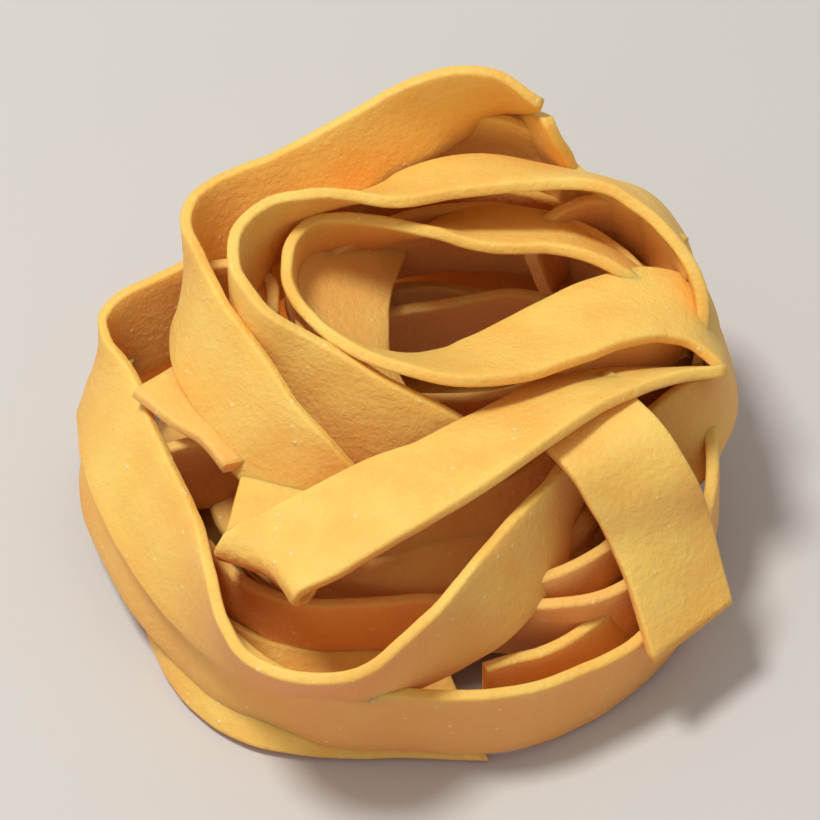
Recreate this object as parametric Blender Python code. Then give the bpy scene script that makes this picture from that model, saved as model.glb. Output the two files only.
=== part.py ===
"""Dry pasta nest: flat egg-pasta ribbons wound into one ring-shaped heap and fused where they touch.

Metres, +Z up. The nest stands on z = 0 with the middle of its outline on the origin, its tall side at +Y.
"""
import math

import bmesh
import bpy
import numpy as np

MM = 0.001

# Ribbon: one width and one thickness all through the nest.
RIBBON_WIDTH = 10.5
RIBBON_THICKNESS = 1.3
RUNG_PITCH = 3.0

# Ribbons that fold or turn over tightly, which have closer rungs.
FOLDED_RIBBONS = ("cross_band", "front_flap", "inner_loop")
FOLDED_PITCH = 2.2

# Slant of the cut at a ribbon's first and last end, in degrees, for the cuts that aren't square.
CUT_SLANTS = {"back_wall": (12, 0), "base_ring": (0, -26), "front_flap": (0, -15), "left_corner": (0, 10)}
CUT_REACH = 7.0

# Middle of the wound heap in the routes' own plan, which becomes the origin.
HEAP_MIDDLE = (-0.44, 0.0)

# Core: a ring of packed ribbon that the heap hides, round the open hollow, which lies off its middle.
CORE_MIDDLE = (0.3, 3.2)
CORE_RADIUS = 22.5
HOLLOW_MIDDLE = (3.4, 9.5)
HOLLOW_RADIUS = 8.2
CORE_LEVEL = 8.0
CORE_HALF_HEIGHT = 7.0
CORE_SIDES = (28, 10)

# Colours of dried egg pasta.
PASTA_COLOUR = (0.80, 0.52, 0.17, 1.0)
PASTA_ROUGHNESS = 0.55

# Routes, in millimetres and degrees. Each row is the ribbon's middle, x, y, z, and its lean: how far the
# top edge tips to the right of the way the route runs. A fifth number is the bearing the top edge tips
# to, for the places where the ribbon drops or folds and the route gives no bearing of its own.
ROUTES = {
    "back_wall": [
        (12.3, 29.9, 31.8, 38, -84), (11.0, 29.9, 32.5, 34, -86), (9.2, 29.8, 33.1, 24, -88),
        (7.0, 29.4, 33.6, 11, -88), (4.3, 28.7, 33.6, 0, -90), (0.8, 27.2, 32.8, 10), (-2.5, 25.6, 31.4, 15),
        (-7.0, 23.4, 29.7, 20), (-13.0, 20.8, 27.8, 20), (-17.5, 19.1, 27.1, 20), (-20.5, 17.0, 27.0, 15),
        (-22.0, 13.5, 27.0, 5), (-22.0, 9.5, 27.0, -15), (-20.5, 3.5, 26.0, -30), (-17.5, -1.5, 25.0, -35),
        (-14.5, -6.0, 23.0, -35), (-11.0, -9.0, 20.5, -30), (-8.0, -11.0, 17.5, -30),
        (-5.0, -12.5, 15.0, -30)],
    "back_drop": [
        (14.8, 28.0, 17.0, 43, -54), (14.2, 28.8, 23.0, 43, -54), (13.2, 29.2, 26.3, 45, -52),
        (12.5, 29.6, 29.6, 44, -57), (12.5, 30.2, 31.2, 40, -67)],
    "high_ring": [
        (30.0, 7.0, 15.0, -20), (30.0, 10.5, 20.0, -20), (28.8, 13.5, 24.0, -20), (26.2, 17.5, 27.0, -35),
        (23.5, 20.0, 28.5, -45), (19.5, 21.5, 29.5, -45), (15.0, 22.0, 30.0, -50), (9.0, 21.5, 31.0, -60),
        (3.0, 20.5, 31.0, -60), (-1.0, 19.0, 31.0, -55), (-5.5, 18.5, 30.5, -40), (-10.5, 17.0, 30.0, -20),
        (-14.0, 15.0, 29.5, -5), (-16.5, 11.5, 29.0, 5), (-17.3, 7.0, 28.4, 0), (-15.9, 2.3, 27.8, -12),
        (-12.1, -0.7, 26.1, -20), (-8.2, -2.7, 25.1, -20), (-4.3, -4.7, 23.6, -20), (0.5, -6.1, 21.4, -20),
        (4.8, -6.8, 18.0, -20)],
    "inner_loop": [
        (27.0, 13.5, 20.5, -50), (19.5, 16.5, 24.7, -50), (14.0, 18.0, 26.0, -60), (9.0, 18.0, 26.5, -65),
        (4.5, 18.0, 26.5, -55), (1.5, 17.8, 26.5, -42), (-2.0, 18.2, 26.2, -33), (-5.0, 18.6, 25.5, -26),
        (-8.0, 18.2, 25.0, -18), (-10.9, 16.2, 24.9, -10), (-12.0, 12.5, 25.0, 0), (-11.5, 9.5, 25.1, 8),
        (-9.9, 6.5, 25.6, 20), (-7.4, 3.9, 26.1, 30), (-4.4, 1.6, 26.6, 38), (-0.8, -0.1, 27.0, 46),
        (4.0, -0.8, 27.1, 57), (9.0, 0.5, 27.0, 68), (14.5, 3.5, 27.0, 75), (20.0, 6.5, 26.8, 80),
        (25.0, 8.2, 25.9, 80, -96), (28.0, 8.3, 24.6, 74, -101), (30.0, 7.0, 22.2, 58, -100),
        (31.5, 4.4, 19.6, 39, -108), (30.8, 2.6, 18.2, 35, -138), (28.1, -0.3, 16.9, 38, 180),
        (25.8, -2.2, 15.4, 38, 161), (22.8, -4.5, 14.0, 40, 144), (18.5, -6.0, 13.0, 45, 130)],
    "cross_band": [
        (-10.8, -3.0, 18.0, 90, 172), (-11.6, -9.5, 18.7, 90, 166), (-12.6, -15.2, 18.9, 91, 162),
        (-13.6, -19.3, 19.1, 92, 159), (-13.9, -20.3, 19.5, 92, 150), (-13.9, -20.9, 20.5, 95, 140),
        (-13.4, -20.8, 21.5, 96, 129), (-12.4, -20.3, 21.9, 95, 121), (-8.8, -19.0, 23.2, -90),
        (-2.5, -16.0, 25.0, -95), (3.0, -13.5, 26.0, -105), (7.5, -10.5, 26.5, -110),
        (12.0, -7.0, 26.5, -115), (16.0, -3.5, 26.0, -118), (20.0, -1.0, 25.0, -125), (24.5, 1.2, 23.6, -132),
        (29.0, 2.8, 22.0, -138)],
    "front_flap": [
        (15.3, -1.5, 23.4, 85, 31), (16.3, -4.0, 24.9, 85, 31), (17.8, -7.6, 26.0, 85, 31),
        (19.8, -10.1, 25.6, 86, 28), (22.4, -12.7, 22.8, 86, 21), (24.8, -14.8, 17.6, 94, 26),
        (26.4, -17.9, 13.6, 95, 35), (27.7, -21.0, 10.3, 90, 42)],
    "left_sweep": [
        (27.0, 10.0, 11.0, 5), (26.5, 17.0, 13.0, 5), (20.5, 23.5, 15.0, 5), (11.0, 27.5, 17.0, 0),
        (0.0, 27.5, 18.0, 0), (-11.0, 23.5, 18.0, 5), (-18.5, 18.5, 17.5, 10), (-25.0, 14.5, 17.0, 15),
        (-28.5, 12.5, 16.5, 15), (-30.5, 10.5, 16.0, 5), (-31.7, 8.0, 16.0, -15), (-30.4, 3.0, 16.0, -35),
        (-28.9, -2.5, 16.0, -40), (-26.3, -9.0, 15.5, -40), (-23.0, -16.0, 15.5, -30),
        (-20.0, -22.0, 15.5, -10), (-17.0, -27.0, 15.5, 10), (-13.5, -30.5, 16.0, 25),
        (-9.0, -32.0, 16.5, 30), (-5.5, -32.0, 16.5, 25), (-1.5, -30.0, 16.5, 10),
        (3.5, -26.5, 17.0, -5), (8.0, -22.5, 18.0, -20),
        (11.2, -18.3, 18.6, -20), (13.7, -14.2, 18.0, 18, 118), (16.0, -8.4, 17.2, 22, -117),
        (18.0, -4.0, 14.5, 25, -110)],
    "low_front": [
        (27.0, -3.5, 8.8, 0), (28.5, 2.0, 8.8, 0), (28.6, 8.0, 8.7, 0), (26.8, 14.5, 8.5, 0),
        (21.5, 22.5, 8.0, 5), (11.5, 28.5, 7.5, 0), (0.0, 30.0, 7.5, 0), (-12.0, 27.5, 8.0, 5),
        (-22.0, 21.5, 8.6, 0), (-29.0, 13.0, 9.0, -8), (-31.9, 5.5, 9.4, -18), (-31.6, 0.0, 9.3, -20),
        (-29.5, -6.7, 9.0, -15), (-26.0, -13.5, 9.0, -15), (-22.5, -18.5, 8.5, -10), (-17.5, -24.0, 8.0, -5),
        (-12.5, -27.0, 7.5, 5), (-7.5, -29.0, 7.5, 5), (-1.0, -29.5, 7.5, 5), (5.5, -29.7, 7.3, 5),
        (11.5, -28.2, 6.6, 5), (16.5, -25.5, 6.0, 5), (21.0, -22.5, 5.9, 8), (24.8, -18.6, 6.2, 5),
        (27.6, -13.8, 6.8, 0), (29.6, -8.2, 8.4, 0), (30.6, -3.0, 10.2, -3), (30.6, 2.5, 11.2, -5),
        (29.6, 8.5, 11.4, -5)],
    "base_ring": [
        (7.3, -25.6, 5.8, 0), (15.0, -22.6, 5.8, 0), (20.5, -18.6, 5.6, -10), (25.0, -12.0, 5.0, -30),
        (26.5, -4.5, 4.4, -42), (26.0, 4.0, 4.3, -45), (23.5, 13.0, 4.3, -45), (16.5, 20.5, 4.3, -45),
        (7.0, 25.0, 4.3, -45), (-3.0, 25.0, 4.3, -45), (-13.0, 22.0, 4.3, -45), (-21.0, 15.0, 4.3, -45),
        (-25.2, 6.0, 4.6, -40), (-26.0, -3.0, 5.0, -30), (-25.0, -10.5, 5.2, -22), (-22.4, -17.4, 5.2, -25),
        (-19.2, -21.2, 4.8, -35), (-15.0, -23.8, 4.3, -45), (-9.0, -25.0, 4.0, -50), (-2.0, -25.1, 4.0, -50),
        (5.4, -25.4, 4.0, -50)],
    "shoulder": [
        (-6.0, 26.5, 23.0, 0), (0.0, 29.0, 24.3, 0), (7.0, 30.4, 25.2, 0), (12.0, 29.6, 24.2, 0),
        (15.6, 27.4, 22.3, 3), (19.0, 24.2, 21.6, 3), (24.0, 20.5, 21.0, 0), (27.5, 17.5, 20.5, 0)],
    "foot_left": [(-14.5, -13.0, 0.65, 90, 150), (-16.5, -3.0, 0.65, 90, 180), (-15.5, 8.0, 0.65, 90, 195)],
    "foot_back": [(-9.0, 20.0, 0.65, 90, 100), (3.0, 22.0, 0.65, 90, 90), (14.0, 19.5, 0.65, 90, 70)],
    "foot_right": [(21.0, 9.0, 0.65, 90, 15), (21.0, -2.0, 0.65, 90, -10), (15.5, -12.0, 0.65, 90, -40)],
    "left_corner": [
        (-24.4, 3.6, 20.9, 104, 75), (-21.5, 1.2, 20.5, 104, 58), (-17.1, -2.0, 20.0, 104, 44),
        (-13.9, -6.1, 19.2, 104, 40)],
    "right_well": [
        (28.4, 13.0, 20.6, 0), (26.8, 16.2, 20.8, 0), (24.8, 19.4, 20.8, 0), (22.3, 22.0, 20.8, 0),
        (19.3, 22.9, 20.8, 0), (16.4, 22.0, 20.6, 0), (14.2, 20.0, 20.2, 5), (13.4, 17.2, 19.5, 10)],
    "hollow_back": [
        (-12.0, 16.0, 17.5, 10), (-5.0, 21.0, 18.5, 10), (3.0, 23.5, 19.0, 5), (11.0, 23.5, 19.0, 5),
        (19.0, 20.5, 18.5, 5), (25.0, 14.0, 17.0, 5), (27.5, 8.0, 15.0, 5)],
    "hollow_low": [
        (-10.0, 12.0, 10.5, 20), (-3.0, 16.2, 10.8, 5), (4.0, 17.8, 11.0, 5), (12.0, 18.8, 11.2, 5),
        (18.0, 17.0, 11.3, 10), (22.0, 11.0, 10.5, 20)],
    "left_lining": [
        (-4.5, 24.0, 21.0, 55), (-6.3, 18.0, 21.5, 60), (-7.0, 12.0, 21.5, 62), (-6.3, 6.0, 20.5, 60),
        (-3.0, 1.0, 18.5, 55)],
    "front_middle": [
        (-10.5, -12.5, 12.8, -22), (-5.0, -12.2, 12.8, -27), (0.0, -11.6, 12.6, -27), (4.5, -10.9, 12.5, -27),
        (9.5, -9.8, 12.6, -27), (14.0, -7.0, 13.0, -25), (18.0, -2.0, 13.0, -25)],
    "right_ledge": [
        (9.5, -18.6, 9.8, 0), (14.0, -18.0, 10.8, 0), (19.2, -14.6, 10.8, 0), (23.0, -9.0, 11.0, 0)],
    "left_strut": [
        (-22.0, 14.5, 19.2, 0), (-17.5, 15.0, 19.5, 0), (-14.6, 13.6, 19.5, 0), (-14.0, 10.0, 18.8, 0)],
    "inner_ring": [
        (-21.0, -13.0, 9.0, -10), (-16.5, -18.0, 9.0, -5), (-11.0, -20.5, 9.0, -5), (-5.0, -20.5, 9.0, -5),
        (1.0, -20.0, 9.0, -5), (7.5, -19.0, 9.0, 10), (13.0, -19.5, 9.0, 10), (18.5, -19.0, 9.0, 5),
        (22.5, -16.8, 9.0, 0), (25.5, -12.5, 9.0, 0)],
}


def unit(vectors):
    return vectors / np.linalg.norm(vectors, axis=-1, keepdims=True)


def smooth_curve(knots, rows, reads):
    """Read the smooth curve through rows, which lie at the lengths in knots, at the lengths in reads."""
    slopes = np.gradient(rows, knots, axis=0, edge_order=1)
    for i in range(1, len(knots) - 1):
        before, after = knots[i] - knots[i - 1], knots[i + 1] - knots[i]
        rise_in, rise_out = (rows[i] - rows[i - 1]) / before, (rows[i + 1] - rows[i]) / after
        slopes[i] = (rise_in * after + rise_out * before) / (before + after)
    k = np.clip(np.searchsorted(knots, reads, side="right") - 1, 0, len(knots) - 2)
    span = (knots[k + 1] - knots[k])[:, None]
    u = ((reads - knots[k]) / (knots[k + 1] - knots[k]))[:, None]
    return ((2 * u**3 - 3 * u**2 + 1) * rows[k] + (u**3 - 2 * u**2 + u) * span * slopes[k]
            + (3 * u**2 - 2 * u**3) * rows[k + 1] + (u**3 - u**2) * span * slopes[k + 1])


def lay_route(route, pitch):
    """The middle, way, width direction and face direction of each rung of a ribbon along its route."""
    middles = np.array([row[:3] for row in route])
    knots = np.concatenate([[0.0], np.cumsum(np.linalg.norm(np.diff(middles, axis=0), axis=1))])
    along = unit(np.gradient(middles, knots, axis=0, edge_order=1))
    up = np.array([0.0, 0.0, 1.0])
    widths = []
    for row, way in zip(route, along):
        lean = math.radians(row[3])
        if len(row) == 5:
            bearing = math.radians(row[4])
            side = np.array([math.cos(bearing), math.sin(bearing), 0.0])
            widths.append(up * math.cos(lean) + side * math.sin(lean))
        else:
            side = unit(np.cross(way, up))
            widths.append(np.cross(side, way) * math.cos(lean) + side * math.sin(lean))
    rungs = max(4, round(knots[-1] / pitch) + 1)
    reads = np.linspace(0.0, knots[-1], rungs)
    middle = smooth_curve(knots, middles, reads)
    width = smooth_curve(knots, np.array(widths), reads)
    way = unit(np.gradient(middle, axis=0))
    width = unit(width - way * np.sum(width * way, axis=1, keepdims=True))
    return middle, way, width, np.cross(width, way), reads


def ribbon(name, route, slants, heap):
    """One ribbon with a rectangular section, closed at both cut ends, which are square or slanted."""
    pitch = FOLDED_PITCH if name in FOLDED_RIBBONS else RUNG_PITCH
    middle, way, width, face, reads = lay_route(route, pitch)
    first, last = (math.tan(math.radians(slant)) for slant in slants)
    skews = (first * np.clip(1 - reads / CUT_REACH, 0, 1)**2
             + last * np.clip(1 - (reads[-1] - reads) / CUT_REACH, 0, 1)**2)
    half_width, half_thick = RIBBON_WIDTH / 2, RIBBON_THICKNESS / 2
    corners = ((1, 1), (1, -1), (-1, -1), (-1, 1))
    bm = bmesh.new()
    rings = []
    for m, t, w, f, skew in zip(middle, way, width, face, skews):
        across = (w + t * skew) * half_width
        rings.append([bm.verts.new((m + across * a + f * half_thick * b) * MM) for a, b in corners])
    for ring, following in zip(rings, rings[1:]):
        for i in range(4):
            j = (i + 1) % 4
            bm.faces.new((ring[i], ring[j], following[j], following[i]))
    bm.faces.new(rings[0])
    bm.faces.new(list(reversed(rings[-1])))
    bmesh.ops.recalc_face_normals(bm, faces=bm.faces[:])
    bmesh.ops.triangulate(bm, faces=bm.faces[:])
    mesh = bpy.data.meshes.new(name)
    bm.to_mesh(mesh)
    bm.free()
    obj = bpy.data.objects.new(name, mesh)
    heap.objects.link(obj)
    return obj


def reach_of_core(turn):
    """How far the core's outer circle lies from the hollow's middle, at a turn round the hollow."""
    off = (CORE_MIDDLE[0] - HOLLOW_MIDDLE[0], CORE_MIDDLE[1] - HOLLOW_MIDDLE[1])
    along = off[0] * math.cos(turn) + off[1] * math.sin(turn)
    return along + math.sqrt(along**2 + CORE_RADIUS**2 - off[0]**2 - off[1]**2)


def core(name):
    """The packed ring under the heap: oval in section, narrow behind the hollow and wide in front of it."""
    around, about = CORE_SIDES
    bm = bmesh.new()
    rings = []
    for i in range(around):
        turn = 2 * math.pi * i / around
        outer = reach_of_core(turn)
        ring = []
        for j in range(about):
            roll = 2 * math.pi * j / about
            reach = (outer + HOLLOW_RADIUS) / 2 + (outer - HOLLOW_RADIUS) / 2 * math.cos(roll)
            ring.append(bm.verts.new(((HOLLOW_MIDDLE[0] + reach * math.cos(turn)) * MM,
                                      (HOLLOW_MIDDLE[1] + reach * math.sin(turn)) * MM,
                                      (CORE_LEVEL + CORE_HALF_HEIGHT * math.sin(roll)) * MM)))
        rings.append(ring)
    for i in range(around):
        ring, following = rings[i], rings[(i + 1) % around]
        for j in range(about):
            k = (j + 1) % about
            bm.faces.new((ring[j], following[j], following[k], ring[k]))
    bmesh.ops.recalc_face_normals(bm, faces=bm.faces[:])
    mesh = bpy.data.meshes.new(name)
    bm.to_mesh(mesh)
    bm.free()
    obj = bpy.data.objects.new(name, mesh)
    bpy.context.scene.collection.objects.link(obj)
    return obj


def fuse(body, heap, solver):
    """Fuse every ribbon of the heap to the core with one union, and drop the loose ribbons."""
    union = body.modifiers.new("fuse", "BOOLEAN")
    union.operation = "UNION"
    union.operand_type = "COLLECTION"
    union.collection = heap
    union.solver = solver
    if solver == "EXACT":
        union.use_self = True
    bpy.context.view_layer.objects.active = body
    bpy.ops.object.modifier_apply(modifier=union.name)
    for obj in list(heap.objects):
        mesh = obj.data
        bpy.data.objects.remove(obj)
        bpy.data.meshes.remove(mesh)
    bpy.data.collections.remove(heap)


def keep_main_shell(body):
    """Weld what the union left doubled, drop loose scraps and sealed hollows, and centre the heap."""
    bm = bmesh.new()
    bm.from_mesh(body.data)
    bmesh.ops.remove_doubles(bm, verts=bm.verts[:], dist=0.0000001)
    seen, shells = set(), []
    for vert in bm.verts:
        if vert in seen:
            continue
        shell, queue = [], [vert]
        seen.add(vert)
        while queue:
            here = queue.pop()
            shell.append(here)
            for edge in here.link_edges:
                there = edge.other_vert(here)
                if there not in seen:
                    seen.add(there)
                    queue.append(there)
        shells.append(shell)
    shells.sort(key=len)
    for shell in shells[:-1]:
        bmesh.ops.delete(bm, geom=shell, context="VERTS")
    bmesh.ops.translate(bm, verts=bm.verts[:], vec=(-HEAP_MIDDLE[0] * MM, -HEAP_MIDDLE[1] * MM, 0.0))
    bmesh.ops.triangulate(bm, faces=bm.faces[:])
    bm.to_mesh(body.data)
    bm.free()


def pasta_material():
    material = bpy.data.materials.new("dried_egg_pasta")
    material.use_nodes = True
    shader = material.node_tree.nodes["Principled BSDF"]
    shader.inputs["Base Color"].default_value = PASTA_COLOUR
    shader.inputs["Roughness"].default_value = PASTA_ROUGHNESS
    shader.inputs["Metallic"].default_value = 0.0
    return material


def build():
    for obj in list(bpy.data.objects):
        bpy.data.objects.remove(obj)
    heap = bpy.data.collections.new("ribbons")
    bpy.context.scene.collection.children.link(heap)
    for name, route in ROUTES.items():
        ribbon(name, route, CUT_SLANTS.get(name, (0, 0)), heap)
    nest = core("pasta_nest")
    fuse(nest, heap, "EXACT")
    keep_main_shell(nest)
    nest.data.materials.clear()
    nest.data.materials.append(pasta_material())
    nest.data.shade_smooth()
    nest.data.set_sharp_from_angle(angle=math.radians(35))


build()
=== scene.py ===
import math

import bmesh
import bpy
import numpy as np
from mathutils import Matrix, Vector, noise


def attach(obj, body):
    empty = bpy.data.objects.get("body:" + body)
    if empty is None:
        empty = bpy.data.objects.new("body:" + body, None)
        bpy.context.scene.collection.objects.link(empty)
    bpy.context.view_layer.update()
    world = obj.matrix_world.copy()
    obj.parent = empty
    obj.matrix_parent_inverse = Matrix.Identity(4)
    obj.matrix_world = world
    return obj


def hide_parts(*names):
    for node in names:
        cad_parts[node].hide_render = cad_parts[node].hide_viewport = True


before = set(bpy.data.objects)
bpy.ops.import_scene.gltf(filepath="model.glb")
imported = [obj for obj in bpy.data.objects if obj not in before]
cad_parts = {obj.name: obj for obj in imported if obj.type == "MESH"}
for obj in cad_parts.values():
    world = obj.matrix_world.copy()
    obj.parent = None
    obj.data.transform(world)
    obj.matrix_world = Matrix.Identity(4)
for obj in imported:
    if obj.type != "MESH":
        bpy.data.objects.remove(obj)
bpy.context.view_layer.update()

# Egg pasta dough
# Durum flour and egg, rolled, cut and dried. It is dull and pale in uneven amber patches, and warm amber
# where light soaks through the sheet. Downward faces low in the heap get painted shade in a darker amber.
# Bubbles and flour leave fine pale specks in it.

SPECKLESS_SHARE = 0.74
SPECK_STRENGTH = 0.55
FLOUR_COLOUR = (0.95, 0.80, 0.48, 1.0)

# Heights in metres over which the painted shade on downward faces fades, from full below to faint above.
SHADE_FADE_HEIGHTS = (0.020, 0.033)


def link(tree, output, target):
    tree.links.new(output, target)


def node(tree, kind, place, **values):
    """A new node: each value goes to its property of that name, or else to its input of that name."""
    made = tree.nodes.new(kind)
    made.location = place
    for key, value in values.items():
        if hasattr(made, key):
            setattr(made, key, value)
        else:
            made.inputs[key].default_value = value
    return made


def ranged(tree, place, value, span, results):
    """The value's place in the span, from the first result to the second, and held at both ends."""
    made = node(tree, "ShaderNodeMapRange", place)
    for key, number in zip(("From Min", "From Max", "To Min", "To Max"), span + results):
        made.inputs[key].default_value = number
    link(tree, value, made.inputs["Value"])
    return made.outputs["Result"]


def product(tree, place, first, second):
    """One value times another value or number."""
    made = node(tree, "ShaderNodeMath", place, operation="MULTIPLY")
    link(tree, first, made.inputs[0])
    if isinstance(second, float):
        made.inputs[1].default_value = second
    else:
        link(tree, second, made.inputs[1])
    return made.outputs["Value"]


def scaled_sum(tree, place, value, factor, added):
    """The value times the factor, plus the added value."""
    made = node(tree, "ShaderNodeMath", place, operation="MULTIPLY_ADD")
    made.inputs[1].default_value = factor
    link(tree, value, made.inputs[0])
    link(tree, added, made.inputs[2])
    return made.outputs["Value"]


def dough_group():
    """The dough's uneven tone, its specks and the height of its grain, at true size, from any point of it."""
    tree = bpy.data.node_groups.new("dough_pattern", "ShaderNodeTree")
    tree.interface.new_socket("Vector", in_out="INPUT", socket_type="NodeSocketVector")
    tree.interface.new_socket("Tone", in_out="OUTPUT", socket_type="NodeSocketFloat")
    tree.interface.new_socket("Specks", in_out="OUTPUT", socket_type="NodeSocketFloat")
    tree.interface.new_socket("Height", in_out="OUTPUT", socket_type="NodeSocketFloat")
    came = tree.nodes.new("NodeGroupInput")
    gone = tree.nodes.new("NodeGroupOutput")
    came.location, gone.location = (-900, 0), (700, 0)

    clouds = node(tree, "ShaderNodeTexNoise", (-600, 260), Scale=140.0, Detail=3.0, Roughness=0.55)
    grain = node(tree, "ShaderNodeTexNoise", (-600, 20), Scale=1300.0, Detail=4.0, Roughness=0.65)
    dots = node(tree, "ShaderNodeTexVoronoi", (-600, -260), Scale=650.0, Randomness=1.0)
    for texture in (clouds, grain, dots):
        link(tree, came.outputs["Vector"], texture.inputs["Vector"])

    tone = ranged(tree, (-300, 260), clouds.outputs["Fac"], (0.32, 0.68), (0.0, 1.0))
    link(tree, tone, gone.inputs["Tone"])

    near = ranged(tree, (-300, -260), dots.outputs["Distance"], (0.05, 0.20), (1.0, 0.0))
    cell = node(tree, "ShaderNodeSeparateColor", (-450, -480))
    link(tree, dots.outputs["Color"], cell.inputs["Color"])
    chosen = node(tree, "ShaderNodeMath", (-300, -480), operation="GREATER_THAN")
    chosen.inputs[1].default_value = SPECKLESS_SHARE
    link(tree, cell.outputs["Red"], chosen.inputs[0])
    speck = product(tree, (-60, -340), near, chosen.outputs["Value"])
    link(tree, speck, gone.inputs["Specks"])

    coarse = scaled_sum(tree, (-60, 60), clouds.outputs["Fac"], 0.6, grain.outputs["Fac"])
    height = scaled_sum(tree, (200, 0), speck, 0.35, coarse)
    link(tree, height, gone.inputs["Height"])
    return tree


def pasta_material(name, pale, amber, shade_colour):
    """Dried dough in pale and amber patches, with painted shade in a darker amber low down on the faces
    turned downward.
    """
    material = bpy.data.materials.new(name)
    material.use_nodes = True
    tree = material.node_tree
    shader = tree.nodes["Principled BSDF"]
    shader.inputs["Roughness"].default_value = 0.58
    shader.inputs["Specular IOR Level"].default_value = 0.35
    shader.inputs["Subsurface Weight"].default_value = 0.4
    shader.inputs["Subsurface Radius"].default_value = (1.0, 0.50, 0.20)
    shader.inputs["Subsurface Scale"].default_value = 0.0018
    place = node(tree, "ShaderNodeTexCoord", (-1100, 0))
    pattern = node(tree, "ShaderNodeGroup", (-880, 0), node_tree=DOUGH)
    link(tree, place.outputs["Object"], pattern.inputs["Vector"])
    tones = node(tree, "ShaderNodeMix", (-600, 180), data_type="RGBA")
    tones.inputs["A"].default_value = amber
    tones.inputs["B"].default_value = pale
    link(tree, pattern.outputs["Tone"], tones.inputs["Factor"])
    # Painted shade: faces turned downward, more strongly the lower they lie in the heap, get the shade colour
    # mixed into the dough's tone.
    facing = node(tree, "ShaderNodeNewGeometry", (-1100, 420))
    heading = node(tree, "ShaderNodeSeparateXYZ", (-900, 420))
    link(tree, facing.outputs["Normal"], heading.inputs["Vector"])
    turned = ranged(tree, (-720, 420), heading.outputs["Z"], (-0.45, 0.65), (1.0, 0.0))
    level = node(tree, "ShaderNodeSeparateXYZ", (-900, 620))
    link(tree, place.outputs["Object"], level.inputs["Vector"])
    low = ranged(tree, (-720, 620), level.outputs["Z"], SHADE_FADE_HEIGHTS, (1.0, 0.1))
    shade_mix = node(tree, "ShaderNodeMix", (-480, 300), data_type="RGBA")
    shade_mix.inputs["B"].default_value = shade_colour
    link(tree, tones.outputs["Result"], shade_mix.inputs["A"])
    link(tree, product(tree, (-600, 520), turned, low), shade_mix.inputs["Factor"])
    floury = node(tree, "ShaderNodeMix", (-280, 180), data_type="RGBA")
    floury.inputs["B"].default_value = FLOUR_COLOUR
    link(tree, shade_mix.outputs["Result"], floury.inputs["A"])
    speckling = product(tree, (-600, -120), pattern.outputs["Specks"], SPECK_STRENGTH)
    link(tree, speckling, floury.inputs["Factor"])
    link(tree, floury.outputs["Result"], shader.inputs["Base Color"])
    bump = node(tree, "ShaderNodeBump", (-360, -260), Strength=0.9, Distance=0.00024)
    link(tree, pattern.outputs["Height"], bump.inputs["Height"])
    link(tree, bump.outputs["Normal"], shader.inputs["Normal"])
    return material


DOUGH = dough_group()

# Ribbons
# Rolled dough cut into flat strips, wound into a nest while soft, then dried on a tray. Each is swept along
# its own route through the heap. The routes are those of the solid, and four more deep in the gaps.

MM = 0.001
RIBBON_WIDTH = 10.5
RIBBON_THICKNESS = 1.3
RUNG_PITCH = 0.9

# Slant of the cut at a ribbon's first and last end, in degrees, for the cuts that aren't square.
CUT_SLANTS = {"back_wall": (10, 0), "back_drop": (0, 16), "base_ring": (0, -26), "front_flap": (0, -15),
              "left_corner": (0, 10)}
CUT_REACH = 7.0

# Middle of the wound heap in the routes' own plan, which becomes the origin.
HEAP_MIDDLE = (-0.44, 0.0)
HEAP_HEIGHT = 38.88

# Height in millimetres of each unevenness of the dough, and its length along the ribbon.
WAVE = (0.20, 11)
CUPPING = (0.22, 16)
RAGGED_EDGE = (0.22, 4.5)
DENTS = (0.10, 3)

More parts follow.
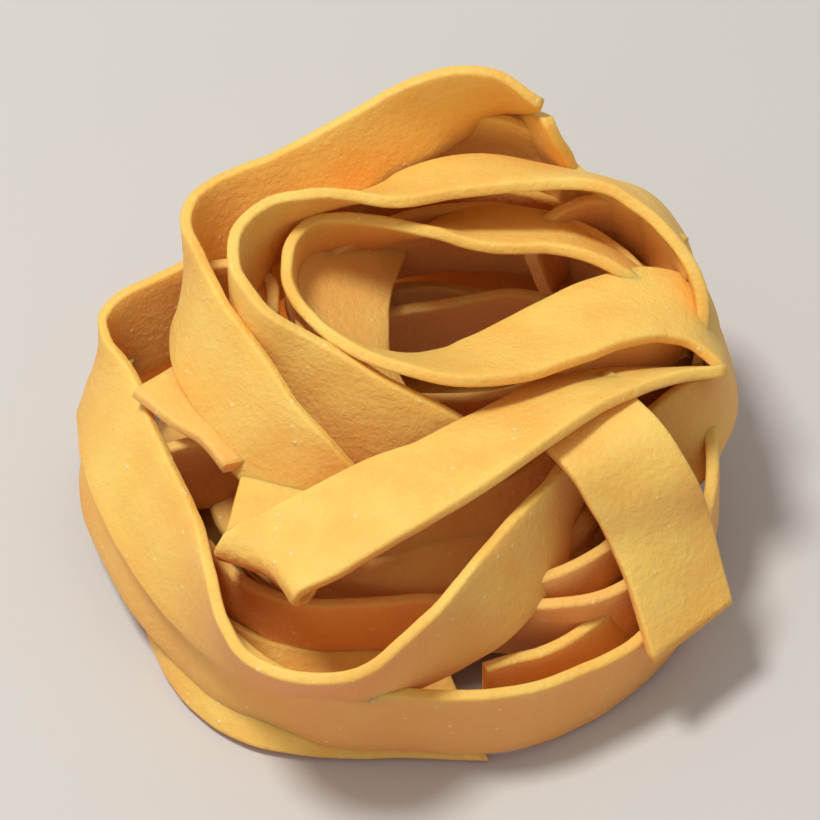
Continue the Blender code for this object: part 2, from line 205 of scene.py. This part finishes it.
# Routes, in millimetres and degrees. A row is the ribbon's middle, x, y, z, and its lean: how far its top
# edge tips to the right of its way. A fifth number is the bearing that the top edge tips to, for the places
# where the ribbon drops or folds and the route gives no bearing of its own.
TOP_ROUTES = {
    "back_wall": [
        (12.3, 29.9, 31.8, 38, -84), (11.0, 29.9, 32.5, 34, -86), (9.2, 29.8, 33.1, 24, -88),
        (7.0, 29.4, 33.6, 11, -88), (4.3, 28.7, 33.6, 0, -90), (0.8, 27.2, 32.8, 10), (-2.5, 25.6, 31.4, 15),
        (-7.0, 23.4, 29.7, 20), (-13.0, 20.8, 27.8, 20), (-17.5, 19.1, 27.1, 20), (-20.5, 17.0, 27.0, 15),
        (-22.0, 13.5, 27.0, 5), (-22.0, 9.5, 27.0, -15), (-20.5, 3.5, 26.0, -30), (-17.5, -1.5, 25.0, -35),
        (-14.5, -6.0, 23.0, -35), (-11.0, -9.0, 20.5, -30), (-8.0, -11.0, 17.5, -30),
        (-5.0, -12.5, 15.0, -30)],
    "back_drop": [
        (14.8, 28.0, 17.0, 43, -54), (14.2, 28.8, 23.0, 43, -54), (13.2, 29.2, 26.3, 45, -52),
        (12.5, 29.6, 29.6, 44, -57), (12.5, 30.2, 31.2, 40, -67)],
    "high_ring": [
        (30.0, 7.0, 15.0, -20), (30.0, 10.5, 20.0, -20), (28.8, 13.5, 24.0, -20), (26.2, 17.5, 27.0, -35),
        (23.5, 20.0, 28.5, -45), (19.5, 21.5, 29.5, -45), (15.0, 22.0, 30.0, -50), (9.0, 21.5, 31.0, -60),
        (3.0, 20.5, 31.0, -60), (-1.0, 19.0, 31.0, -55), (-5.5, 18.5, 30.5, -40), (-10.5, 17.0, 30.0, -20),
        (-14.0, 15.0, 29.5, -5), (-16.5, 11.5, 29.0, 5), (-17.3, 7.0, 28.4, 0), (-15.9, 2.3, 27.8, -12),
        (-12.1, -0.7, 26.1, -20), (-8.2, -2.7, 25.1, -20), (-4.3, -4.7, 23.6, -20), (0.5, -6.1, 21.4, -20),
        (4.8, -6.8, 18.0, -20)],
    "inner_loop": [
        (27.0, 13.5, 20.5, -50), (19.5, 16.5, 24.7, -50), (14.0, 18.0, 26.0, -60), (9.0, 18.0, 26.5, -65),
        (4.5, 18.0, 26.5, -55), (1.5, 17.8, 26.5, -42), (-2.0, 18.2, 26.2, -33), (-5.0, 18.6, 25.5, -26),
        (-8.0, 18.2, 25.0, -18), (-10.9, 16.2, 24.9, -10), (-12.0, 12.5, 25.0, 0), (-11.5, 9.5, 25.1, 8),
        (-9.9, 6.5, 25.6, 20), (-7.4, 3.9, 26.1, 30), (-4.4, 1.6, 26.6, 38), (-0.8, -0.1, 27.0, 46),
        (4.0, -0.8, 27.1, 57), (9.0, 0.5, 27.0, 68), (14.5, 3.5, 27.0, 75), (20.0, 6.5, 26.8, 80),
        (25.0, 8.2, 25.9, 80, -96), (28.0, 8.3, 24.6, 74, -101), (30.0, 7.0, 22.2, 58, -100),
        (31.5, 4.4, 19.6, 39, -108), (30.8, 2.6, 18.2, 35, -138), (28.1, -0.3, 16.9, 38, 180),
        (25.8, -2.2, 15.4, 38, 161), (22.8, -4.5, 14.0, 40, 144), (18.5, -6.0, 13.0, 45, 130)],
    "cross_band": [
        (-10.8, -3.0, 18.0, 90, 172), (-11.6, -9.5, 18.7, 90, 166), (-12.6, -15.2, 18.9, 91, 162),
        (-13.6, -19.3, 19.1, 92, 159), (-13.9, -20.3, 19.5, 92, 150), (-13.9, -20.9, 20.5, 95, 140),
        (-13.4, -20.8, 21.5, 96, 129), (-12.4, -20.3, 21.9, 95, 121), (-8.8, -19.0, 23.2, -90),
        (-2.5, -16.0, 25.0, -95), (3.0, -13.5, 26.0, -105), (7.5, -10.5, 26.5, -110),
        (12.0, -7.0, 26.5, -115), (16.0, -3.5, 26.0, -118), (20.0, -1.0, 25.0, -125), (24.5, 1.2, 23.6, -132),
        (29.0, 2.8, 22.0, -138)],
    "front_flap": [
        (15.3, -1.5, 23.4, 85, 31), (16.3, -4.0, 24.9, 85, 31), (17.8, -7.6, 26.0, 85, 31),
        (19.8, -10.1, 25.6, 86, 28), (22.4, -12.7, 22.8, 86, 21), (24.8, -14.8, 17.6, 94, 26),
        (26.4, -17.9, 13.6, 95, 35), (27.7, -21.0, 10.3, 90, 42)],
}

OUTER_ROUTES = {
    "left_sweep": [
        (27.0, 10.0, 11.0, 5), (26.5, 17.0, 13.0, 5), (20.5, 23.5, 15.0, 5), (11.0, 27.5, 17.0, 0),
        (0.0, 27.5, 18.0, 0), (-11.0, 23.5, 18.0, 5), (-18.5, 18.5, 17.5, 10), (-25.0, 14.5, 17.0, 15),
        (-28.5, 12.5, 16.5, 15), (-30.5, 10.5, 16.0, 5), (-31.7, 8.0, 16.0, -15), (-30.4, 3.0, 16.0, -35),
        (-28.9, -2.5, 16.0, -40), (-26.3, -9.0, 15.5, -40), (-23.0, -16.0, 15.5, -30),
        (-20.0, -22.0, 15.5, -10), (-17.0, -27.0, 15.5, 10), (-13.5, -30.5, 16.0, 25),
        (-9.0, -32.0, 16.5, 30), (-5.5, -32.0, 16.5, 25), (-1.5, -30.0, 16.5, 10),
        (3.5, -26.5, 17.0, -5), (8.0, -22.5, 18.0, -20),
        (11.2, -18.3, 18.6, -20), (13.7, -14.2, 18.0, 18, 118), (16.0, -8.4, 17.2, 22, -117),
        (18.0, -4.0, 14.5, 25, -110)],
    "low_front": [
        (27.0, -3.5, 8.8, 0), (28.5, 2.0, 8.8, 0), (28.6, 8.0, 8.7, 0), (26.8, 14.5, 8.5, 0),
        (21.5, 22.5, 8.0, 5), (11.5, 28.5, 7.5, 0), (0.0, 30.0, 7.5, 0), (-12.0, 27.5, 8.0, 5),
        (-22.0, 21.5, 8.6, 0), (-29.0, 13.0, 9.0, -8), (-31.9, 5.5, 9.4, -18), (-31.6, 0.0, 9.3, -20),
        (-29.5, -6.7, 9.0, -15), (-26.0, -13.5, 9.0, -15), (-22.5, -18.5, 8.5, -10), (-17.5, -24.0, 8.0, -5),
        (-12.5, -27.0, 7.5, 5), (-7.5, -29.0, 7.5, 5), (-1.0, -29.5, 7.5, 5), (5.5, -29.7, 7.3, 5),
        (11.5, -28.2, 6.6, 5), (16.5, -25.5, 6.0, 5), (21.0, -22.5, 5.9, 8), (24.8, -18.6, 6.2, 5),
        (27.6, -13.8, 6.8, 0), (29.6, -8.2, 8.4, 0), (30.6, -3.0, 10.2, -3), (30.6, 2.5, 11.2, -5),
        (29.6, 8.5, 11.4, -5)],
    "base_ring": [
        (7.3, -25.6, 5.8, 0), (15.0, -22.6, 5.8, 0), (20.5, -18.6, 5.6, -10), (25.0, -12.0, 5.0, -30),
        (26.5, -4.5, 4.4, -42), (26.0, 4.0, 4.3, -45), (23.5, 13.0, 4.3, -45), (16.5, 20.5, 4.3, -45),
        (7.0, 25.0, 4.3, -45), (-3.0, 25.0, 4.3, -45), (-13.0, 22.0, 4.3, -45), (-21.0, 15.0, 4.3, -45),
        (-25.2, 6.0, 4.6, -40), (-26.0, -3.0, 5.0, -30), (-25.0, -10.5, 5.2, -22), (-22.4, -17.4, 5.2, -25),
        (-19.2, -21.2, 4.8, -35), (-15.0, -23.8, 4.3, -45), (-9.0, -25.0, 4.0, -50), (-2.0, -25.1, 4.0, -50),
        (5.4, -25.4, 4.0, -50)],
    "shoulder": [
        (-6.0, 26.5, 23.0, 0), (0.0, 29.0, 24.3, 0), (7.0, 30.4, 25.2, 0), (12.0, 29.6, 24.2, 0),
        (15.6, 27.4, 22.3, 3), (19.0, 24.2, 21.6, 3), (24.0, 20.5, 21.0, 0), (27.5, 17.5, 20.5, 0)],
    "foot_left": [(-14.5, -13.0, 0.65, 90, 150), (-16.5, -3.0, 0.65, 90, 180), (-15.5, 8.0, 0.65, 90, 195)],
    "foot_back": [(-9.0, 20.0, 0.65, 90, 100), (3.0, 22.0, 0.65, 90, 90), (14.0, 19.5, 0.65, 90, 70)],
    "foot_right": [(21.0, 9.0, 0.65, 90, 15), (21.0, -2.0, 0.65, 90, -10), (15.5, -12.0, 0.65, 90, -40)],
}

INNER_ROUTES = {
    "left_corner": [
        (-24.4, 3.6, 20.9, 104, 75), (-21.5, 1.2, 20.5, 104, 58), (-17.1, -2.0, 20.0, 104, 44),
        (-13.9, -6.1, 19.2, 104, 40)],
    "right_well": [
        (28.4, 13.0, 20.6, 0), (26.8, 16.2, 20.8, 0), (24.8, 19.4, 20.8, 0), (22.3, 22.0, 20.8, 0),
        (19.3, 22.9, 20.8, 0), (16.4, 22.0, 20.6, 0), (14.2, 20.0, 20.2, 5), (13.4, 17.2, 19.5, 10)],
    "hollow_back": [
        (-12.0, 16.0, 17.5, 10), (-5.0, 21.0, 18.5, 10), (3.0, 23.5, 19.0, 5), (11.0, 23.5, 19.0, 5),
        (19.0, 20.5, 18.5, 5), (25.0, 14.0, 17.0, 5), (27.5, 8.0, 15.0, 5)],
    "hollow_low": [
        (-10.0, 12.0, 10.5, 20), (-3.0, 16.2, 10.8, 5), (4.0, 17.8, 11.0, 5), (12.0, 18.8, 11.2, 5),
        (18.0, 17.0, 11.3, 10), (22.0, 11.0, 10.5, 20)],
    "left_lining": [
        (-4.5, 24.0, 21.0, 55), (-6.3, 18.0, 21.5, 60), (-7.0, 12.0, 21.5, 62), (-6.3, 6.0, 20.5, 60),
        (-3.0, 1.0, 18.5, 55)],
    "front_middle": [
        (-10.5, -12.5, 12.8, -22), (-5.0, -12.2, 12.8, -27), (0.0, -11.6, 12.6, -27), (4.5, -10.9, 12.5, -27),
        (9.5, -9.8, 12.6, -27), (14.0, -7.0, 13.0, -25), (18.0, -2.0, 13.0, -25)],
    "front_deep": [
        (-12.0, -9.0, 9.0, -25), (-4.0, -13.5, 8.0, -30), (6.0, -13.0, 8.0, -30), (14.0, -10.0, 8.0, -30),
        (21.0, -4.0, 8.5, -25)],
    "right_ledge": [
        (9.5, -18.6, 9.8, 0), (14.0, -18.0, 10.8, 0), (19.2, -14.6, 10.8, 0), (23.0, -9.0, 11.0, 0)],
    "right_lining": [
        (14.5, 1.5, 19.0, 0), (19.0, 3.6, 19.2, 0), (24.0, 5.4, 19.2, 0), (28.0, 8.0, 18.0, 0),
        (28.6, 12.0, 16.5, 0)],
    "left_shade": [
        (-25.2, -4.6, 13.4, 0), (-21.0, -3.4, 13.6, 0), (-16.0, -3.6, 13.2, 0), (-11.0, -6.0, 12.0, 0)],
    "hollow_front": [
        (-7.5, 7.0, 11.5, 0), (-3.0, 4.2, 12.0, 0), (3.0, 3.4, 12.3, 0), (9.0, 3.9, 12.3, 0),
        (14.5, 6.5, 12.0, 0)],
    "left_strut": [
        (-22.0, 14.5, 19.2, 0), (-17.5, 15.0, 19.5, 0), (-14.6, 13.6, 19.5, 0), (-14.0, 10.0, 18.8, 0)],
    "inner_ring": [
        (-21.0, -13.0, 9.0, -10), (-16.5, -18.0, 9.0, -5), (-11.0, -20.5, 9.0, -5), (-5.0, -20.5, 9.0, -5),
        (1.0, -20.0, 9.0, -5), (7.5, -19.0, 9.0, 10), (13.0, -19.5, 9.0, 10), (18.5, -19.0, 9.0, 5),
        (22.5, -16.8, 9.0, 0), (25.5, -12.5, 9.0, 0)],
}


def unit(vectors):
    return vectors / np.linalg.norm(vectors, axis=-1, keepdims=True)


def smooth_curve(knots, rows, reads):
    """Read the smooth curve through rows, which lie at the lengths in knots, at the lengths in reads."""
    slopes = np.gradient(rows, knots, axis=0, edge_order=1)
    for i in range(1, len(knots) - 1):
        before, after = knots[i] - knots[i - 1], knots[i + 1] - knots[i]
        rise_in, rise_out = (rows[i] - rows[i - 1]) / before, (rows[i + 1] - rows[i]) / after
        slopes[i] = (rise_in * after + rise_out * before) / (before + after)
    k = np.clip(np.searchsorted(knots, reads, side="right") - 1, 0, len(knots) - 2)
    span = (knots[k + 1] - knots[k])[:, None]
    u = ((reads - knots[k]) / (knots[k + 1] - knots[k]))[:, None]
    return ((2 * u**3 - 3 * u**2 + 1) * rows[k] + (u**3 - 2 * u**2 + u) * span * slopes[k]
            + (3 * u**2 - 2 * u**3) * rows[k + 1] + (u**3 - u**2) * span * slopes[k + 1])


def lay_route(route):
    """The middle, way, width direction and face direction of each rung of a ribbon along its route."""
    middles = np.array([row[:3] for row in route])
    knots = np.concatenate([[0.0], np.cumsum(np.linalg.norm(np.diff(middles, axis=0), axis=1))])
    along = unit(np.gradient(middles, knots, axis=0, edge_order=1))
    up = np.array([0.0, 0.0, 1.0])
    widths = []
    for row, way in zip(route, along):
        lean = math.radians(row[3])
        if len(row) == 5:
            bearing = math.radians(row[4])
            side = np.array([math.cos(bearing), math.sin(bearing), 0.0])
            widths.append(up * math.cos(lean) + side * math.sin(lean))
        else:
            side = unit(np.cross(way, up))
            widths.append(np.cross(side, way) * math.cos(lean) + side * math.sin(lean))
    rungs = max(8, round(knots[-1] / RUNG_PITCH) + 1)
    reads = np.linspace(0.0, knots[-1], rungs)
    middle = smooth_curve(knots, middles, reads)
    width = smooth_curve(knots, np.array(widths), reads)
    way = unit(np.gradient(middle, axis=0))
    width = unit(width - way * np.sum(width * way, axis=1, keepdims=True))
    return middle, way, width, np.cross(width, way), reads


def section_outline():
    """A ribbon's cut section, from -1 to 1 both ways: two flat faces and two sides with rounded corners."""
    half_width, half_thick, rounding = RIBBON_WIDTH / 2, RIBBON_THICKNESS / 2, 0.38
    outline = []
    for corner, (a, b) in enumerate(((1, 1), (-1, 1), (-1, -1), (1, -1))):
        for step in range(4):
            turn = math.radians(90 * corner + 30 * step)
            outline.append((a * (half_width - rounding) + rounding * math.cos(turn),
                            b * (half_thick - rounding) + rounding * math.sin(turn)))
        if corner % 2 == 0:
            inner = half_width - rounding
            for step in range(1, 8):
                outline.append((a * inner * (1 - step / 4), b * half_thick))
    return outline


def add_ribbon(bm, layer, route, slants, seed):
    """Sweep the section along a route, with the small waves, cupping and uneven edges of hand-cut dough."""
    middle, way, width, face, reads = lay_route(route)
    first, last = (math.tan(math.radians(slant)) for slant in slants)
    skews = (first * np.clip(1 - reads / CUT_REACH, 0, 1)**2
             + last * np.clip(1 - (reads[-1] - reads) / CUT_REACH, 0, 1)**2)
    outline = section_outline()
    drift = seed * 7.31
    rings = []
    for m, t, w, f, s, skew in zip(middle, way, width, face, reads, skews):
        wave = WAVE[0] * noise.noise(Vector((s / WAVE[1], drift, 0.3)))
        cup = CUPPING[0] * noise.noise(Vector((s / CUPPING[1], drift, 5.1)))
        ring = []
        for a, b in outline:
            reach = a / (RIBBON_WIDTH / 2)
            ragged = noise.noise(Vector((s / RAGGED_EDGE[1], drift + 3 * math.copysign(1, a), 9.7)))
            edge = RAGGED_EDGE[0] * ragged * abs(reach)**3
            lift = wave * (1 - reach**2) + cup * reach**2
            lift += DENTS[0] * noise.noise(Vector((s / DENTS[1], a / DENTS[1], drift)))
            point = m + t * a * skew + w * (a + math.copysign(edge, a)) + f * (b + lift)
            point -= np.array((HEAP_MIDDLE[0], HEAP_MIDDLE[1], 0.0))
            point[2] = min(max(point[2], 0.0), HEAP_HEIGHT)
            ring.append(bm.verts.new(point * MM))
        rings.append(ring)
    count = len(outline)
    for k, (ring, following) in enumerate(zip(rings, rings[1:])):
        for i in range(count):
            j = (i + 1) % count
            made = bm.faces.new((ring[i], ring[j], following[j], following[i]))
            made.smooth = True
            for loop, place in zip(made.loops, ((k, i), (k, i + 1), (k + 1, i + 1), (k + 1, i))):
                loop[layer].uv = (reads[place[0]] * MM, place[1] / count)
    bm.faces.new(rings[0])
    bm.faces.new(list(reversed(rings[-1])))


def add_piece(name, bm, material):
    """A finished piece of the nest from its faces, riding on the whole nest."""
    bmesh.ops.recalc_face_normals(bm, faces=bm.faces[:])
    mesh = bpy.data.meshes.new(name)
    bm.to_mesh(mesh)
    bm.free()
    mesh.materials.append(material)
    piece = bpy.data.objects.new(name, mesh)
    bpy.context.scene.collection.objects.link(piece)
    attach(piece, "root")
    return piece


def make_ribbons(name, routes, material, seed):
    bm = bmesh.new()
    layer = bm.loops.layers.uv.new("Ribbon")
    for number, (title, route) in enumerate(routes.items()):
        add_ribbon(bm, layer, route, CUT_SLANTS.get(title, (0, 0)), seed + number)
    return add_piece(name, bm, material)


# The third colour of each material is its painted shade for downward faces low in the heap.
dough = pasta_material("dried_egg_dough", (0.94, 0.62, 0.15, 1.0), (0.91, 0.51, 0.105, 1.0),
                       (0.86, 0.33, 0.10, 1.0))
# The inner copy of the dough is recoloured redder as painted shade, for the ribbons and core deep inside the
# heap.
shaded_inner_dough = pasta_material("inner_egg_dough_painted_shade", (0.94, 0.58, 0.15, 1.0), (0.92, 0.48, 0.12, 1.0),
                             (0.90, 0.38, 0.13, 1.0))
make_ribbons("outer_ribbons", OUTER_ROUTES, dough, 1)
top = make_ribbons("top_ribbons", TOP_ROUTES, dough, 20)
make_ribbons("inner_ribbons", INNER_ROUTES, shaded_inner_dough, 40)
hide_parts("pasta_nest")

# Packed core
# The ribbons wound first, packed so tight in the middle of the heap that only dark folds of them show
# between the outer ones: a hidden ring round the hollow, grooved along its way like stacked ribbon edges.

CORE_MIDDLE = (0.3, 3.2, 7.5)
CORE_RADIUS = 21.5
CORE_HALF_HEIGHT = 5.5
HOLLOW_MIDDLE = (3.4, 9.5)
HOLLOW_RADIUS = 10.2
CORE_SIDES = (160, 48)
GROOVES = 9
GROOVE_DEPTH = 0.05
SWELL_DEPTH = 0.04


def reach_of_core(turn):
    """How far the core's outer circle lies from the hollow's middle, at a turn round the hollow."""
    off = (CORE_MIDDLE[0] - HOLLOW_MIDDLE[0], CORE_MIDDLE[1] - HOLLOW_MIDDLE[1])
    along = off[0] * math.cos(turn) + off[1] * math.sin(turn)
    return along + math.sqrt(along**2 + CORE_RADIUS**2 - off[0]**2 - off[1]**2)


def make_core():
    around, about = CORE_SIDES
    bm = bmesh.new()
    rings = []
    for i in range(around):
        turn = 2 * math.pi * i / around
        outer = reach_of_core(turn)
        ring = []
        for j in range(about):
            roll = 2 * math.pi * j / about
            groove = GROOVE_DEPTH * math.sin(GROOVES * roll + 2 * math.sin(turn) + turn * 2)
            bulge = SWELL_DEPTH * noise.noise(Vector((math.cos(turn) * 4, math.sin(turn) * 4, roll)))
            swell = 1 + groove + bulge
            reach = (outer + HOLLOW_RADIUS) / 2 + (outer - HOLLOW_RADIUS) / 2 * swell * math.cos(roll)
            ring.append(bm.verts.new(((HOLLOW_MIDDLE[0] - HEAP_MIDDLE[0] + reach * math.cos(turn)) * MM,
                                      (HOLLOW_MIDDLE[1] - HEAP_MIDDLE[1] + reach * math.sin(turn)) * MM,
                                      (CORE_MIDDLE[2] + CORE_HALF_HEIGHT * swell * math.sin(roll)) * MM)))
        rings.append(ring)
    for i in range(around):
        ring, following = rings[i], rings[(i + 1) % around]
        for j in range(about):
            k = (j + 1) % about
            bm.faces.new((ring[j], following[j], following[k], ring[k])).smooth = True
    # The core wears the inner dough copy, recoloured as painted shade.
    add_piece("packed_core", bm, shaded_inner_dough)


make_core()

# Studio
# A pale plain floor, a soft light above and a little to the left, and a weak one in front.

LIT_POINT = (0.0, 0.0, 0.02)
LAMP_COLOUR = (1.0, 0.97, 0.92)


def make_floor():
    bm = bmesh.new()
    bmesh.ops.create_grid(bm, x_segments=2, y_segments=2, size=1.5)
    mesh = bpy.data.meshes.new("floor")
    bm.to_mesh(mesh)
    bm.free()
    material = bpy.data.materials.new("floor_card")
    material.use_nodes = True
    shader = material.node_tree.nodes["Principled BSDF"]
    shader.inputs["Base Color"].default_value = (0.62, 0.61, 0.59, 1.0)
    shader.inputs["Roughness"].default_value = 0.9
    mesh.materials.append(material)
    floor = bpy.data.objects.new("floor", mesh)
    bpy.context.scene.collection.objects.link(floor)


def area_light(name, place, size, power):
    """A round light of a size in metres and a power in watts, aimed at the nest."""
    data = bpy.data.lights.new(name, "AREA")
    data.shape = "DISK"
    data.size = size
    data.energy = power
    data.color = LAMP_COLOUR
    lamp = bpy.data.objects.new(name, data)
    lamp.location = place
    lamp.rotation_euler = (Vector(place) - Vector(LIT_POINT)).to_track_quat("Z", "Y").to_euler()
    bpy.context.scene.collection.objects.link(lamp)


make_floor()
area_light("key", (-0.18, 0.0, 0.57), 0.14, 2.5)
area_light("front_fill", (-0.40, -0.65, 0.42), 0.35, 0.35)

world = bpy.data.worlds.new("studio")
world.use_nodes = True
world.node_tree.nodes["Background"].inputs["Color"].default_value = (1.0, 0.97, 0.93, 1.0)
world.node_tree.nodes["Background"].inputs["Strength"].default_value = 0.42
bpy.context.scene.world = world
bpy.context.scene.view_settings.view_transform = "Standard"

# Camera
# The photograph's view: from above the front at 50 degrees, aimed at the middle of the nest.

CAMERA_DISTANCE = 0.420
CAMERA_LENS = 184.39
CAMERA_TILT = math.radians(50)
HALF_HEIGHT = 19.4

camera_data = bpy.data.cameras.new("camera")
camera_data.lens = CAMERA_LENS
camera_data.sensor_width = 36.0
camera = bpy.data.objects.new("camera", camera_data)
aim = Vector((-HEAP_MIDDLE[0], -HEAP_MIDDLE[1], HALF_HEIGHT)) * MM
camera.location = aim + Vector((0.0, -math.cos(CAMERA_TILT), math.sin(CAMERA_TILT))) * CAMERA_DISTANCE
camera.rotation_euler = (math.radians(90) - CAMERA_TILT, 0.0, 0.0)
bpy.context.scene.collection.objects.link(camera)
bpy.context.scene.camera = camera
